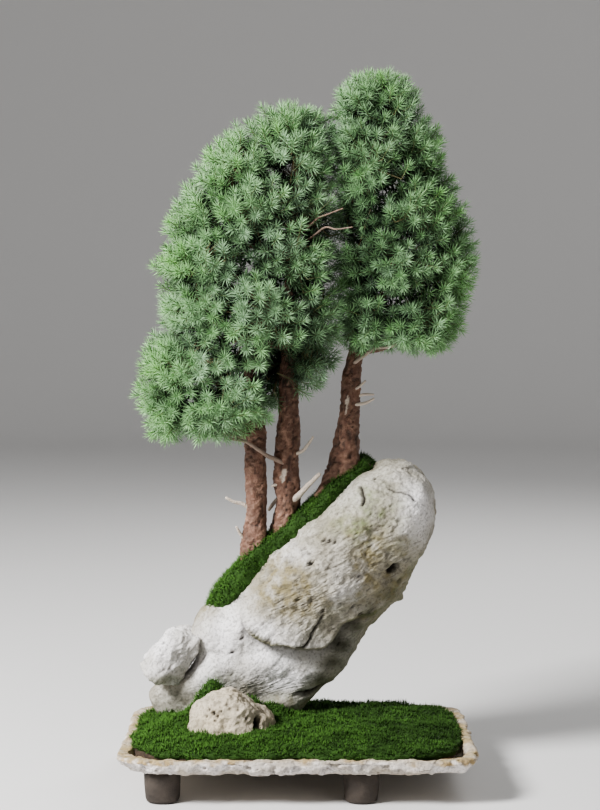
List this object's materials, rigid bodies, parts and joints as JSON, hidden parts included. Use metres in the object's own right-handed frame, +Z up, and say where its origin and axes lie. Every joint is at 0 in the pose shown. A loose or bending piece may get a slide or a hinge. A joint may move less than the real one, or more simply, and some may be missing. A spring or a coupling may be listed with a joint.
{
  "type": "spruce bonsai",
  "caption": "Dwarf spruces on a leaning weathered limestone boulder, standing in a mossy rough stone slab on short feet.",
  "frame": {"origin": "the middle of the bounding box's underside, on the surface that the feet stand on", "axes": "+X to the right seen from the front, +Y towards the back, +Z up"},
  "size_m": [0.3739, 0.2541, 0.7442],
  "materials": {
    "slab_stone": "matte",
    "foot_clay": "matte",
    "limestone": "matte",
    "warm_stone": "matte",
    "soil": "matte",
    "moss": "matte",
    "bark": "matte",
    "needles": "satin"
  },
  "bodies": {
    "root": {"slab": "slab_stone", "foot_front_left": "foot_clay", "foot_front_right": "foot_clay", "foot_back_left": "foot_clay", "foot_back_right": "foot_clay", "boulder": "limestone", "left_stone": "limestone", "front_stone": "warm_stone", "soil_bed": "soil", "moss_mat": "moss", "soil_bank": "soil", "moss_bank": "moss", "trunk_left": "bark", "trunk_middle": "bark", "trunk_right": "bark", "spray_left_01": "needles", "spray_left_02": "needles", "spray_left_03": "needles", "spray_left_04": "needles", "spray_left_05": "needles", "spray_left_06": "needles", "spray_middle_01": "needles", "spray_middle_02": "needles", "spray_middle_03": "needles", "spray_middle_04": "needles", "spray_middle_05": "needles", "spray_middle_06": "needles", "spray_middle_07": "needles", "spray_middle_08": "needles", "spray_middle_09": "needles", "spray_middle_10": "needles", "spray_middle_11": "needles", "spray_middle_12": "needles", "spray_middle_13": "needles", "spray_middle_14": "needles", "spray_middle_15": "needles", "spray_middle_16": "needles", "spray_middle_17": "needles", "spray_middle_18": "needles", "spray_right_01": "needles", "spray_right_02": "needles", "spray_right_03": "needles", "spray_right_04": "needles", "spray_right_05": "needles", "spray_right_06": "needles", "spray_right_07": "needles", "spray_right_08": "needles", "spray_right_09": "needles", "spray_right_10": "needles", "spray_right_11": "needles", "spray_right_12": "needles", "spray_right_13": "needles", "spray_right_14": "needles"}
  },
  "joints": []
}
